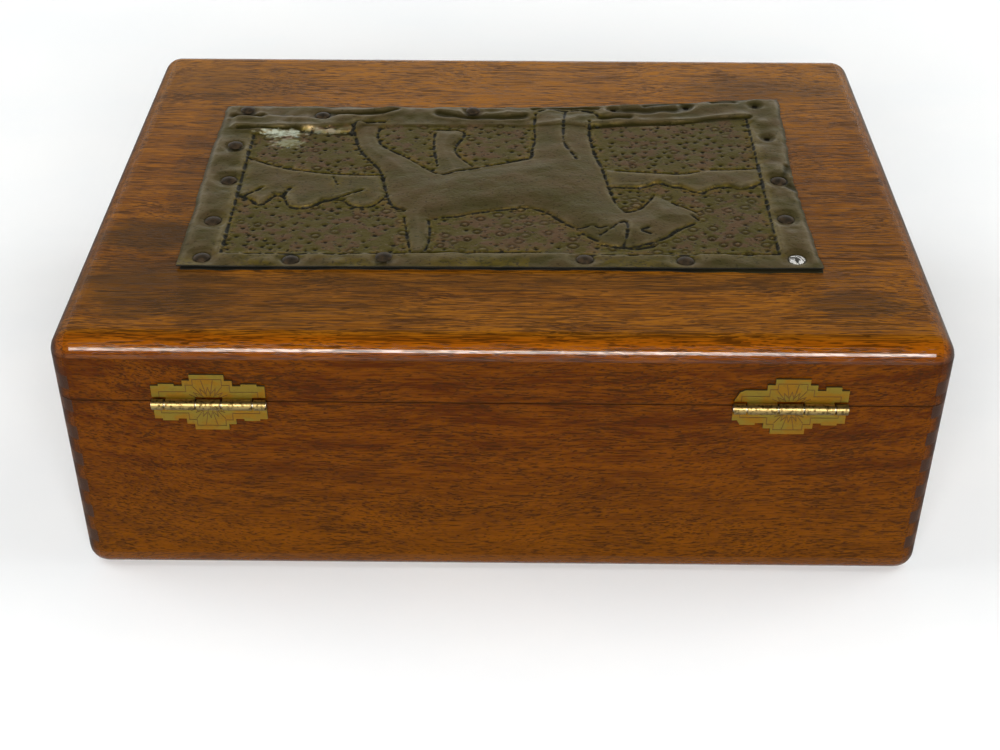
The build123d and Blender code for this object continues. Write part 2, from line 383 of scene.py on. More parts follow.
# %% Hardwood
def hardwood(along_y=False, pore_size=(5.0, 0.34), pore_tone=0.8, patch_width=3.2,
             stains=(), bow=0.0, seed=0.0, shine=0.5):
    """Wood whose grain runs along X, or along Y, with pores of a given length and width."""

    def build(tree):
        x, y, z = tree.place_parts()
        facing_x, facing_y, _ = tree.facing_parts()
        lid_share = tree.step(z, LID_FACE_FROM, LID_FACE_FULL)
        along, across, up = (y, x, z) if along_y else (x, y, z)
        drift = tree.noise(tree.stretched((along + seed, across, up), (60, 34, 34)), 1.0)
        sway = (drift - 0.5) * 9.0 + along * along * bow
        across, up = across + sway, up + sway

        def grain(length, width, detail, shift):
            place = tree.stretched((along + seed + shift, across + seed, up), (length, width, width))
            return tree.noise(place, detail, 0.6)

        band = grain(90, 5.0, 2.0, 0)
        patch = grain(20, patch_width, 3.0, 40)
        fibre = grain(9, 0.55, 3.0, 90)
        tone = tree.step(band * 0.40 + patch * 0.60 + fibre * 0.65 - 0.325, 0.34, 0.64)
        wood = tree.mix(lid_share, tree.mix(tone, *SIDE_TONES), tree.mix(tone, *LID_TONES))
        wood = tree.mix((1 - tree.step(z, 5.0, 50.0)) * 0.45, wood, HONEY)
        # Painted light: the far part of the lid is painted paler, where more light falls on it.
        wood = tree.mix(tree.step(y * -1.0, 5.0, 80.0) * lid_share * 0.45, wood, FAR_LID_PAINTED_LIGHT)
        # Painted shade: where the lid's edge turns towards the back it is tinted a deeper amber.
        wood = tree.mix(tree.step(facing_y, 0.10, 0.55) * lid_share * 0.65, wood, EDGE_SHADE_AMBER)
        # Painted shade: the parts of the lid that face the back, below the gleam, are painted deep red.
        wood = tree.mix(tree.step(facing_y, 0.84, 0.95) * lid_share * 0.9, wood, EDGE_SHADE_RED)
        marks = pore_marks(tree, grain, pore_size, lid_share)
        wood = tree.mix(marks * pore_tone, wood, PORE)
        cloud = tree.noise(tree.stretched((along, across, up), (16, 7, 7)), 4.0)
        wood = stained(tree, wood, x, y, cloud, stains, lid_share)
        end = tree.step(abs(facing_y if along_y else facing_x), 0.45, 0.8)
        wood = tree.mix(end * 0.85, wood, END_GRAIN)
        wood = tree.mix((1 - tree.step(abs(z - SEAM_HEIGHT), 0.15, 0.40)) * 0.75, wood, PORE)

        gloss = tree.noise(tree.stretched((x, y, z), (30, 30, 30)), 2.0)
        rough = tree.step(gloss, 0.40, 0.75) * 0.05 + marks * 0.05 + 0.03
        rough = rough + tree.step(abs(facing_x), 0.15, 0.5) * 0.4
        rough = rough + tree.step(x, 40.0, 95.0) * lid_share * 0.12
        varnish = varnish_left(tree, x, y, z, facing_y, marks, gloss) * lid_share
        waves = tree.noise(tree.stretched((x, y, z), (12, 2.5, 2.5)), 3.0)
        bump = tree.add("Bump", {}, {"Height": waves * 0.6 - marks * 0.5, "Strength": 0.35,
                                     "Distance": 0.12 * MM})
        return {"Base Color": wood, "Roughness": rough, "Normal": bump, "Specular IOR Level": shine,
                "Coat Weight": varnish, "Coat Roughness": 0.05}

    return build


lid_wood = finish("varnished_lid", hardwood(pore_size=(11.0, 0.34), stains=LID_STAINS, shine=0.12))
back_wood = finish("varnished_back", hardwood(pore_tone=0.8, patch_width=5.0, bow=-0.0006,
                                              seed=60.0, shine=0.04))
front_wood = finish("varnished_front", hardwood(pore_tone=0.6, patch_width=5.0, bow=0.0004,
                                                seed=400.0, shine=0.12))
end_wood = finish("varnished_ends", hardwood(along_y=True, pore_tone=0.6, patch_width=5.0,
                                             seed=700.0, shine=0.10))
BOARD_FINISHES = {
    "lid_top_panel": lid_wood, "base_bottom_panel": front_wood,
    "lid_back_board": back_wood, "base_back_board": back_wood,
    "lid_front_board": front_wood, "base_front_board": front_wood,
    "lid_left_board": end_wood, "base_left_board": end_wood,
    "lid_right_board": end_wood, "base_right_board": end_wood,
}


def dress(node, material):
    """Puts one finish on every face of a piece of the frame."""
    slots = nodes[node].data.materials
    slots.clear()
    slots.append(material)


for board, material in BOARD_FINISHES.items():
    dress(board, material)

# %% [markdown]
# ## Hinges
# Each hinge is two leaves stamped from thin brass sheet, with a pattern of lines pressed into
# them, and rolled round a wire. Lacquer and dirt have darkened the leaves to a dull gold, dirt
# fills the lines, and hands have kept the barrel bare and bright. The frame already has the
# lines as real grooves, so the finish only has to know how deep a point lies. The leaves' cut
# sides are painted nearly black, as painted shade round each leaf.

# %% Brass and wire
back_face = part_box("base_back_board")[1].y / MM
LEAF_THICK = 0.6
LINE_DEPTH = 0.12
leaf_face = back_face + LEAF_THICK


def stamped_brass(tree):
    x, y, z = tree.place_parts()
    facing_back = tree.facing_parts()[1]
    cloud = tree.noise(tree.stretched((x, y, z), (5.0, 5.0, 3.5)), 3.0)
    fine = tree.noise(tree.stretched((x, y, z), (0.8, 0.8, 0.8)), 2.0)
    barrel = tree.step(y, leaf_face + 0.10, leaf_face + 0.35)
    gold = tree.mix(tree.step(cloud, 0.38, 0.62), (0.132, 0.064, 0.002), (0.112, 0.080, 0.008))
    gold = tree.mix(tree.step(fine, 0.52, 0.75) * 0.45, gold, (0.085, 0.050, 0.006))
    worn = tree.mix(tree.step(fine, 0.45, 0.70), (0.17, 0.13, 0.055), (0.045, 0.032, 0.010))
    gold = tree.mix(barrel, gold, worn)
    in_line = 1 - tree.step(y, leaf_face - LINE_DEPTH * 0.8, leaf_face - LINE_DEPTH * 0.3)
    # Painted shade: the leaves' cut sides, which don't face the back, are painted nearly black.
    side = (1 - tree.step(facing_back, 0.5, 0.8)) * (1 - barrel)
    dirt_and_side_shade = tree.larger(in_line, side)
    gold = tree.mix(in_line * 0.9, gold, (0.070, 0.032, 0.004))
    gold = tree.mix(side * 0.93, gold, (0.018, 0.011, 0.003))
    rough = 0.42 - barrel * 0.10 + dirt_and_side_shade * 0.3
    metal = 0.55 + barrel * 0.39 - dirt_and_side_shade * 0.5
    bump = tree.add("Bump", {}, {"Height": cloud + fine * 0.4, "Strength": 0.3,
                                 "Distance": 0.15 * MM})
    return {"Base Color": gold, "Metallic": metal, "Roughness": rough, "Normal": bump,
            "Specular IOR Level": 0.15}


def plain_wire(tree):
    parts = tree.place_parts()
    cloud = tree.noise(tree.stretched(parts, (1.2, 0.4, 0.4)), 3.0)
    colour = tree.mix(cloud, (0.42, 0.38, 0.28), (0.16, 0.14, 0.10))
    return {"Base Color": colour, "Metallic": 0.95, "Roughness": cloud * 0.3 + 0.2}


brass = finish("stamped_brass", stamped_brass)
wire = finish("plain_wire", plain_wire)
for hand in ("left", "right"):
    dress(hand + "_hinge_upper_leaf", brass)
    dress(hand + "_hinge_lower_leaf", brass)
    dress(hand + "_hinge_pin", wire)

# %% [markdown]
# ## Nails
# The heads are darkened iron with a film of rust. One was replaced by a bright plated tack.


# %% Nail finishes
def dark_iron(tree):
    parts = tree.place_parts()
    cloud = tree.noise(tree.stretched(parts, (1.6, 1.6, 1.6)), 3.0)
    grit = tree.noise(tree.stretched(parts, (0.35, 0.35, 0.35)), 2.0)
    colour = tree.mix(tree.step(cloud, 0.40, 0.65), (0.030, 0.023, 0.015), (0.064, 0.042, 0.023))
    bump = tree.add("Bump", {}, {"Height": grit + cloud, "Strength": 0.4, "Distance": 0.12 * MM})
    return {"Base Color": colour, "Metallic": 0.6, "Roughness": cloud * 0.25 + 0.30, "Normal": bump}


def bright_plate(tree):
    parts = tree.place_parts()
    x, y, z = parts
    cloud = tree.noise(tree.stretched(parts, (0.8, 0.8, 0.8)), 3.0)
    cuts = tree.noise(tree.stretched((x + y, x - y, z), (0.9, 4.0, 2.0)), 1.0)
    cut = tree.step(cuts, 0.50, 0.56)
    colour = tree.mix(cloud, (0.88, 0.88, 0.87), (0.55, 0.54, 0.50))
    colour = tree.mix(cut * 0.95, colour, (0.03, 0.028, 0.024))
    bump = tree.add("Bump", {}, {"Height": cloud - cut, "Strength": 0.5, "Distance": 0.3 * MM})
    return {"Base Color": colour, "Metallic": 0.35, "Roughness": cloud * 0.15 + 0.2, "Normal": bump}


iron = finish("dark_iron", dark_iron)
dress("driven_nails", iron)
dress("lifted_nails", iron)
dress("bright_nail", finish("bright_plate", bright_plate))

# %% [markdown]
# ## The embossed sheet
# The plaque is thin sheet, worked from behind on pitch and then chased from the front. The dog
# and the hills stand proud and smooth. Every outline is a row of chisel strokes, and the ground
# behind is matted with small rings and dots so that the smooth parts stand out.
#
# A height map does the same thing: one height for each place on the sheet. It is made here with
# array arithmetic, and a fine grid is lifted by it. The picture's lines are short lists of
# points, read as if the box stood with its front towards you.

# %% Shapes in the picture
DOG = (
    (-55.2, 23.2), (-52.5, 26.8), (-47.5, 31.0), (-44.5, 35.0), (-40.0, 38.2), (-33.5, 40.6),
    (-27.0, 38.3), (-24.0, 35.0), (-20.0, 30.5), (-15.5, 25.3), (-12.0, 21.0), (-7.0, 18.7),
    (0.0, 19.8), (8.0, 21.7), (14.0, 24.3), (20.3, 24.8), (20.2, 32.0), (20.5, 40.0),
    (22.0, 43.6), (24.7, 44.0), (26.0, 37.0), (27.6, 26.0), (28.5, 21.0), (32.5, 16.5),
    (34.3, 8.0), (36.0, -2.0), (40.5, -9.5), (43.5, -15.0), (45.5, -23.5), (46.8, -32.0),
    (37.2, -33.2), (39.0, -24.0), (37.0, -17.5), (30.0, -11.5), (25.0, -6.0), (20.0, -0.7),
    (20.2, -8.0), (21.5, -18.0), (21.8, -28.8), (13.0, -29.0), (12.0, -25.0), (15.3, -17.5),
    (14.0, -12.0), (9.5, -5.2), (1.0, -7.0), (-8.3, -10.5), (-8.3, -17.0), (-9.4, -22.0),
    (-9.0, -31.0), (-9.5, -39.5), (-14.0, -42.4), (-18.8, -40.2), (-23.0, -41.4), (-28.5, -38.6),
    (-26.3, -34.0), (-25.8, -25.0), (-27.0, -13.0), (-29.0, -4.0), (-30.2, 6.0), (-31.3, 14.0),
    (-34.5, 21.2), (-39.0, 18.5), (-43.2, 11.4), (-48.0, 15.3), (-54.0, 20.4),
)
LEFT_HILL = (
    (-75.0, 3.4), (-72.0, 5.8), (-68.5, 7.6), (-65.0, 5.6), (-61.0, 6.4), (-58.0, 9.0),
    (-55.5, 9.6), (-51.0, 6.0), (-48.5, 6.2), (-45.0, 3.6), (-40.0, 6.8), (-30.0, 6.6),
    (-29.0, -4.4), (-33.0, -3.2), (-40.0, -2.5), (-47.0, -1.6), (-53.0, -1.7), (-60.0, -4.2),
    (-69.0, -4.8), (-75.0, -5.2),
)
RIGHT_HILL = (
    (34.0, 13.0), (36.5, 18.0), (39.5, 19.2), (43.5, 18.4), (46.0, 14.8), (51.5, 15.4),
    (54.0, 18.6), (57.5, 20.0), (61.0, 19.0), (63.0, 12.8), (65.5, 12.2), (69.2, 19.4),
    (71.5, 15.6), (76.2, 12.8), (76.4, -9.6), (70.0, -6.0), (63.0, -2.8), (54.0, -0.8),
    (46.0, 0.2), (36.0, 0.2),
)
NEAR_GROUND = (
    (46.8, -24.6), (50.0, -25.2), (56.0, -24.4), (62.0, -27.0), (70.0, -26.0), (80.0, -26.4),
    (85.0, -28.0), (85.0, -36.5), (72.0, -37.0), (58.0, -35.5), (47.0, -37.5), (40.0, -36.5),
)
HOLLOWS = (
    (1.0, ((-76.0, -38.2), (-66.0, -37.0), (-56.0, -34.6), (-48.0, -33.6), (-38.0, -33.4), (-27.0, -31.6))),
    (1.5, ((-6.0, -37.8), (4.0, -36.4), (14.0, -36.6), (20.5, -39.2))),
    (2.1, ((-58.0, -46.0), (-54.0, -42.6), (-46.0, -42.2), (-40.0, -42.4), (-35.0, -41.4))),
    (1.6, ((-56.0, -47.5), (-50.0, -47.0), (-44.0, -45.0))),
    (1.3, ((-38.5, -37.6), (-30.0, -37.0))),
    (1.4, ((34.0, -42.0), (40.0, -38.8), (50.0, -38.2), (56.0, -38.8))),
    (1.6, ((76.0, -36.0), (84.0, -36.6))),
    (1.4, ((-72.0, -49.0), (-66.0, -48.6))),
    (0.8, ((47.0, -26.2), (52.0, -25.6), (58.0, -26.2), (63.0, -28.6), (70.0, -27.4), (82.0, -28.4))),
    (1.0, ((-29.0, -42.6), (-24.0, -43.6), (-18.8, -42.4), (-14.0, -44.0), (-9.0, -42.0))),
    (1.2, ((-84.0, 8.0), (-81.0, 2.0), (-83.5, -6.0))),
)

# %% [markdown]
# Each chased line is its own list of points. The struck border has a gap here and there where
# the chisel skipped, and the outline of the dog is cut in several runs, so that the muzzle and
# the back of the neck stay open as they are on the sheet.

# %% Chased lines
CHASED = (
    ((-75.2, -37.6), (-75.0, 0.0), (-74.6, 43.0)),
    ((-74.6, 43.0), (-50.0, 43.6), (-22.5, 44.2)),
    ((-10.0, 42.6), (4.0, 43.2), (22.0, 43.4), (40.0, 44.6), (76.0, 44.6)),
    ((76.2, 44.4), (76.4, 10.0), (76.6, -24.0)),
    ((-53.0, 27.0), (-47.5, 31.0), (-44.5, 35.0), (-38.0, 38.6), (-33.0, 40.4), (-27.0, 38.6)),
    ((-41.0, 38.8), (-36.0, 40.6), (-31.5, 39.6)),
    ((-32.6, 40.0), (-33.8, 35.0), (-34.6, 30.0), (-34.1, 26.4), (-31.6, 28.2), (-30.0, 30.6),
     (-26.8, 33.6)),
    ((-40.5, 32.8), (-37.6, 31.4), (-40.2, 29.8)),
    ((-54.6, 24.6), (-52.8, 22.6)),
    ((-30.4, 30.4), (-28.4, 29.6), (-26.6, 30.6), (-24.8, 28.6), (-22.6, 29.8), (-20.0, 30.2),
     (-15.5, 25.3), (-12.0, 21.0), (-7.0, 18.7), (0.0, 19.6), (8.0, 21.6), (13.0, 24.0),
     (17.0, 24.4)),
    ((-26.0, 36.6), (-24.0, 35.0), (-21.8, 32.6)),
    ((20.9, 26.2), (20.2, 32.0), (20.5, 40.0), (22.2, 43.6), (25.0, 43.6)),
    ((25.2, 42.6), (26.4, 35.0), (27.8, 24.6)),
    ((28.0, 20.9), (30.4, 19.4), (32.5, 16.5), (34.3, 8.0), (36.0, -2.0), (40.5, -9.5),
     (43.5, -15.0), (45.5, -23.5), (46.8, -32.0), (42.0, -32.4), (37.2, -33.2)),
    ((38.4, -30.0), (39.0, -24.0), (37.0, -17.5), (30.0, -11.5), (25.0, -6.0), (20.0, -0.7),
     (17.6, 0.2), (12.0, -2.6), (1.0, -7.0), (-5.0, -10.0), (-8.3, -10.8), (-8.3, -17.0),
     (-9.4, -22.0), (-9.0, -31.0), (-9.6, -38.6)),
    ((9.5, -5.6), (14.0, -12.0), (15.3, -17.0), (12.0, -25.0), (12.8, -28.2), (21.8, -28.6)),
    ((19.8, -6.0), (21.5, -18.0), (21.4, -26.0)),
    ((-21.4, -9.6), (-20.3, -13.0), (-18.2, -18.0), (-17.7, -24.0), (-18.4, -36.0), (-18.8, -39.8)),
    ((-10.4, -40.4), (-14.0, -42.4), (-18.8, -40.0), (-23.0, -41.4), (-26.8, -41.0), (-28.8, -38.0)),
    ((-26.2, -34.0), (-25.8, -25.0), (-27.0, -13.0), (-29.0, -4.0), (-30.2, 6.0), (-31.3, 14.0),
     (-32.6, 18.6), (-34.5, 21.2), (-38.4, 19.2), (-41.0, 15.4), (-43.0, 11.2)),
    ((-48.0, 15.3), (-54.0, 20.4)),
    LEFT_HILL[:12],
    ((-75.0, -5.2), (-69.0, -4.8), (-61.0, -4.4)),
    ((-57.0, -3.0), (-53.0, -1.7), (-47.0, -1.6), (-40.0, -2.5), (-33.0, -3.2)),
    RIGHT_HILL[:14],
    ((40.6, 9.8), (43.5, 11.6), (47.0, 14.0), (51.0, 15.2)),
    ((61.6, 8.8), (63.0, 12.4)),
    ((69.6, 8.4), (72.2, 11.6), (74.0, 13.2)),
    ((36.0, 0.2), (46.0, 0.2), (54.0, -0.8), (63.0, -2.8), (70.0, -6.0), (76.4, -9.6)),
    ((48.2, 6.4), (49.8, 2.0)),
    ((46.8, -24.6), (46.6, -30.0)),
)
print("picture:", len(DOG), "points in the dog,", len(CHASED), "chased lines")

# %% [markdown]
# The sheet was cut with shears, so its edges wander, and they are given as a few points each.
# The grid is stretched between the four edges: a share from 0 to 1 runs across and another runs
# up, and each edge is a curve of one share.

# %% The cut sheet
SHEET_THICK = 0.5
GRID = 0.43
NOISE_CELLS = 95
board_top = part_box("lid_top_panel")[1].z / MM
low_corner, high_corner = [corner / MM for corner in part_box("plaque")]
LEFT_EDGE = ((-51.8, -26.0, 2.0, 22.0, 50.2), (-86.9, -85.8, -84.2, -84.6, -85.4))
RIGHT_EDGE = ((-44.2, -14.0, 26.0, 51.2), (87.6, 88.0, 87.3, 87.2))
FAR_EDGE = ((-86.9, -58.0, -22.0, 20.0, 87.6), (-51.8, -48.6, -45.2, -43.8, -44.2))
NEAR_EDGE = ((-85.4, -40.0, 30.0, 87.2), (50.2, 50.6, 51.0, 51.2))

columns = round((high_corner.x - low_corner.x) / GRID)
rows = round((high_corner.y - low_corner.y) / GRID)
share_x, share_y = np.meshgrid(np.linspace(0, 1, columns + 1), np.linspace(0, 1, rows + 1))


def soft_noise(x, y, size, seed):
    """Smooth random heights from 0 to 1, about one lump for each size."""
    grid = np.random.default_rng(seed).random((NOISE_CELLS + 1, NOISE_CELLS + 1))
    u, v = (x / size) % NOISE_CELLS, (y / size) % NOISE_CELLS
    i, j = np.floor(u).astype(int), np.floor(v).astype(int)
    s, t = u - i, v - j
    s, t = s * s * (3 - 2 * s), t * t * (3 - 2 * t)
    low = grid[j, i] * (1 - s) + grid[j, i + 1] * s
    high = grid[j + 1, i] * (1 - s) + grid[j + 1, i + 1] * s
    return low * (1 - t) + high * t


def ease(value, low, high):
    """0 below low, 1 above high, and a smooth rise between."""
    share = np.clip((value - low) / (high - low), 0, 1)
    return share * share * (3 - 2 * share)


rough_x = low_corner.x + share_x * (high_corner.x - low_corner.x)
rough_y = low_corner.y + share_y * (high_corner.y - low_corner.y)
left = np.interp(rough_y, *LEFT_EDGE) + 0.5 * (soft_noise(rough_x * 0, rough_y, 3.0, 11) - 0.5)
right = np.interp(rough_y, *RIGHT_EDGE) + 0.5 * (soft_noise(rough_x * 0, rough_y, 4.0, 12) - 0.5)
far = np.interp(rough_x, *FAR_EDGE) + 0.9 * (soft_noise(rough_x, rough_y * 0, 5.0, 13) - 0.5)
near = np.interp(rough_x, *NEAR_EDGE) + 0.3 * (soft_noise(rough_x, rough_y * 0, 6.0, 14) - 0.5)
X = left + (right - left) * share_x
Y = far + (near - far) * share_y
print("sheet grid:", X.shape, "points,", GRID, "mm apart")


# %% Distances on the sheet
def line_distance(points):
    """Distance to a line through some points, and how far along it the nearest place is."""
    nearest = np.full(X.shape, 1e9)
    travelled = np.zeros(X.shape)
    run = 0.0
    for (ax, ay), (bx, by) in zip(points, points[1:]):
        dx, dy = bx - ax, by - ay
        length = math.hypot(dx, dy)
        share = np.clip(((X - ax) * dx + (Y - ay) * dy) / length ** 2, 0, 1)
        gap = np.hypot(X - ax - share * dx, Y - ay - share * dy)
        closer = gap < nearest
        nearest = np.where(closer, gap, nearest)
        travelled = np.where(closer, run + share * length, travelled)
        run += length
    return nearest, travelled


def depth_inside(points):
    """How far inside a closed outline each place is: positive in it, negative outside."""
    closed = tuple(points) + (points[0],)
    inside = np.zeros(X.shape, bool)
    for (ax, ay), (bx, by) in zip(closed, closed[1:]):
        if ay != by:
            crosses = (ay > Y) != (by > Y)
            inside ^= crosses & (X < (bx - ax) * (Y - ay) / (by - ay) + ax)
    gap = line_distance(closed)[0]
    return np.where(inside, gap, -gap)


def blurred(grid, steps):
    """The grid averaged over a few steps each way, twice."""
    for _ in range(2):
        for axis in (0, 1):
            shifts = [np.roll(grid, n, axis) for n in range(-steps, steps + 1)]
            grid = sum(shifts) / len(shifts)
    return grid


def curved(points, rounds=2):
    """The same line with its corners cut, so that it bends like a hand-drawn one."""
    for _ in range(rounds):
        middle = []
        for (ax, ay), (bx, by) in zip(points, points[1:]):
            middle += [(ax * 0.75 + bx * 0.25, ay * 0.75 + by * 0.25),
                       (ax * 0.25 + bx * 0.75, ay * 0.25 + by * 0.75)]
        points = [points[0], *middle, points[-1]]
    return points


# %% [markdown]
# ### From the back: the raised parts
# The picture is framed by a flat margin that has buckled into soft swellings between the nails.
# Inside the frame the ground lies low, the hills stand a little higher and the dog highest, with
# rounded shoulders. The body also has a slow swell of its own, or it would look like a biscuit.

# %% Raised parts
FRAME_LINE = ((-75.0, -37.0), (-75.0, 43.4), (76.4, 44.4), (76.5, -25.0), (46.0, -31.0), (-26.0, -32.0))
dog = depth_inside(DOG)
left_hill = depth_inside(LEFT_HILL)
right_hill = depth_inside(RIGHT_HILL)
near_ground = depth_inside(NEAR_GROUND)
panel = ease(depth_inside(FRAME_LINE), -0.6, 0.8)
dog_raise = ease(dog, -0.4, 1.6)
hill_raise = np.maximum(ease(left_hill, -0.3, 1.8), ease(right_hill, -0.3, 1.8)) * (1 - dog_raise)

swell = soft_noise(X + 200, Y + 200, 12.0, 21)
ripple = soft_noise(X + 200, Y + 200, 5.0, 22)
crumple = soft_noise(X + 200, Y + 200, 2.8, 23)
height_map = SHEET_THICK + 0.22 + (1 - panel) * (0.35 * swell + 0.50 * ripple + 0.22 * crumple)
height_map += panel * (0.22 * ripple - 0.10)
height_map += hill_raise * (0.28 + 0.30 * swell)
height_map += dog_raise * 0.20 + ease(dog, 0.0, 9.0) * (0.55 + 0.25 * swell)
height_map += 0.75 * ease(near_ground, -0.4, 2.2)
hollow_mask = np.zeros(X.shape)
for reach, points in HOLLOWS:
    gap = line_distance(curved(points))[0] + 0.8 * (ripple - 0.5)
    hollow_mask = np.maximum(hollow_mask, 1 - ease(gap, 0.1 * reach, 1.7 * reach))
height_map += 0.35 * (1 - panel) * ease(blurred(hollow_mask, 5), 0.03, 0.35)
height_map -= 0.85 * hollow_mask * np.clip(height_map - 0.2, 0, 1)
print("relief:", round(float(height_map.min()), 2), "to", round(float(height_map.max()), 2), "mm")

# %% [markdown]
# ### From the front: chisel strokes and matting
# A stroke is a shallow valley with a small gap after each blow. The blows are unevenly spaced,
# and here and there a burr stands up beside them. The matting is laid down mark by mark from a
# seeded draw: a ring punch leaves a ring, and a point leaves a pit. A mark that would crowd
# another or touch smooth work is left out.

# %% Chisel strokes
STROKE = 4.2
stroke_mask = np.zeros(X.shape)
beside_mask = np.zeros(X.shape)
burr_mask = np.zeros(X.shape)
for number, points in enumerate(CHASED):
    gap, run = line_distance(curved(points, 1))
    wander = 0.35 * (soft_noise(X, Y, 2.5, 31) - 0.5)
    pace = run / STROKE + 0.37 * number + 1.6 * soft_noise(run, run * 0 + number, 5.0, 32)
    blow = 0.5 + 0.5 * np.cos(2 * math.pi * pace)
    weight = 0.32 + 0.20 * soft_noise(run, run * 0 + 3 * number, 6.0, 33)
    valley = np.exp(-((gap + wander) / weight) ** 2) * (0.40 + 0.60 * ease(blow, 0.05, 0.35))
    burr = np.exp(-((gap - 1.0) / 0.35) ** 2) * ease(soft_noise(X, Y, 3.0, 35), 0.45, 0.75)
    burr_mask = np.maximum(burr_mask, burr)
    stroke_mask = np.maximum(stroke_mask, valley)
    beside_mask = np.maximum(beside_mask, np.exp(-(gap / 2.2) ** 2))
height_map += 0.10 * burr_mask - 0.50 * stroke_mask

# %% Matting
MARKS = 3400
MARK_CELLS = 8
MATTED_LOW, MATTED_SIZE = (-74.0, -34.0), (149.5, 77.0)
RING_ABOVE, RING_BEFORE = 12.0, 30.0


def grid_place(x, y):
    """The row and column of the grid point nearest to a place."""
    low_x, high_x = np.interp(y, *LEFT_EDGE), np.interp(y, *RIGHT_EDGE)
    low_y, high_y = np.interp(x, *FAR_EDGE), np.interp(x, *NEAR_EDGE)
    row = round(float((y - low_y) / (high_y - low_y)) * rows)
    column = round(float((x - low_x) / (high_x - low_x)) * columns)
    row = int(np.clip(row, MARK_CELLS, rows - MARK_CELLS))
    return row, int(np.clip(column, MARK_CELLS, columns - MARK_CELLS))


marks_mask = np.zeros(X.shape)
rings_mask = np.zeros(X.shape)
smooth_work = np.maximum(dog_raise, hill_raise)
draw = np.random.default_rng(5)
spots = draw.random((MARKS, 4))
struck = []
for across, up, kind, size in spots:
    at_x = MATTED_LOW[0] + MATTED_SIZE[0] * across
    at_y = MATTED_LOW[1] + MATTED_SIZE[1] * up
    row, column = grid_place(at_x, at_y)
    near_it = (slice(row - MARK_CELLS, row + MARK_CELLS + 1),
               slice(column - MARK_CELLS, column + MARK_CELLS + 1))
    in_rings = at_y > RING_ABOVE and at_x < RING_BEFORE
    ring = kind < (0.70 if in_rings else 0.12)
    reach = 0.85 + 0.6 * size if ring else 0.48 + 0.32 * size
    force = 0.45 + 0.55 * (kind * 7.3 % 1.0)
    room = 0.3 + 1.9 * soft_noise(np.array(at_x + 80), np.array(at_y + 80), 7.0, 34)
    crowded = any(math.hypot(at_x - px, at_y - py) < reach + pr + room for px, py, pr in struck)
    clear = panel[row, column] > 0.9 and smooth_work[row, column] < 0.1
    if crowded or not clear:
        continue
    struck.append((at_x, at_y, reach))
    radius = np.hypot(X[near_it] - at_x, (Y[near_it] - at_y) * (1.0 + 0.3 * size))
    if ring:
        shape = force * np.exp(-((radius - reach) / 0.36) ** 2)
        height_map[near_it] += 0.22 * force * np.exp(-(radius / (0.7 * reach)) ** 2)
    else:
        shape = (0.4 + 0.6 * force) * np.exp(-(radius / reach) ** 2)
    height_map[near_it] -= (0.26 if ring else 0.50) * shape
    kept = marks_mask if not ring else rings_mask
    kept[near_it] = np.maximum(kept[near_it], shape)
print("matting:", len(struck), "marks struck")

# %% [markdown]
# ### Nails and edges
# A driven nail pulls the sheet down onto the wood, so each sits in a dish. Four holes have lost
# their nails; the sheet dips only a little there, and their black is painted shade. The near edge
# was folded under, and the fold has opened, so a dark line runs under the edge with the hem's lip
# below it; that line is partly a real gap and partly painted shade.

# %% Dishes, holes and edges
HEAD_RADIUS = 2.2


def nail_places(node):
    """The middle of each nail in a group, found from its separate heads."""
    mesh = nodes[node].data
    tops = np.array([v.co[:] for v in mesh.vertices]) / MM
    tops = tops[tops[:, 2] > board_top + SHEET_THICK]
    found = []
    for x, y, _ in tops:
        if all(math.hypot(x - fx, y - fy) > 2 * HEAD_RADIUS for fx, fy in found):
            group = tops[np.hypot(tops[:, 0] - x, tops[:, 1] - y) < 2 * HEAD_RADIUS + 0.1]
            middle = (group[:, :2].min(0) + group[:, :2].max(0)) / 2
            found.append((float(middle[0]), float(middle[1])))
    return found


EMPTY_HOLES = ((-80.0, -24.5), (-79.0, -46.5), (-57.0, -45.0), (-34.0, -43.0))
holes_mask = np.zeros(X.shape)
dishes_mask = np.zeros(X.shape)
for x, y in nail_places("driven_nails") + nail_places("bright_nail"):
    radius = np.hypot(X - x, Y - y)
    away = ease(radius, HEAD_RADIUS - 0.2, HEAD_RADIUS + 3.2)
    height_map = height_map * away + (SHEET_THICK + 0.02) * (1 - away)
    height_map += 0.13 * np.exp(-((radius - HEAD_RADIUS - 0.9) / 0.5) ** 2)
    dishes_mask = np.maximum(dishes_mask, 1 - ease(radius, HEAD_RADIUS, HEAD_RADIUS + 1.0))
for x, y in nail_places("lifted_nails"):
    radius = np.hypot(X - x, Y - y)
    away = ease(radius, HEAD_RADIUS, HEAD_RADIUS + 2.0)
    height_map = height_map * away + np.minimum(height_map, SHEET_THICK + 0.35) * (1 - away)
    dishes_mask = np.maximum(dishes_mask, 1 - ease(radius, 1.2, HEAD_RADIUS + 0.6))
for x, y in EMPTY_HOLES:
    radius = np.hypot(X - x, Y - y)
    away = ease(radius, 1.4, 3.4)
    height_map = height_map * away + (SHEET_THICK + 0.05) * (1 - away)
    holes_mask = np.maximum(holes_mask, 1 - ease(radius, 0.75, 1.25))
height_map -= (SHEET_THICK - 0.06) * holes_mask

from_far, from_near = Y - far, near - Y
from_left, from_right = X - left, right - X
LIP = 0.24
curl = 0.35 + 0.30 * soft_noise(X + 90, Y + 90, 16.0, 41)
for gap in (from_far, from_left, from_right):
    rest = 1 - ease(gap, 0.0, 1.8)
    height_map = height_map * (1 - rest) + (LIP + curl * 0.9) * rest
opened = 0.55 + 0.45 * soft_noise(X + 40, Y * 0, 26.0, 42)
rest = 1 - ease(from_near, 0.0, 3.4)
height_map = height_map * (1 - rest) + (LIP + 0.32 + opened * 0.55) * rest
print("sheet stands", round(float(height_map.max()), 2), "mm off the lid at most")


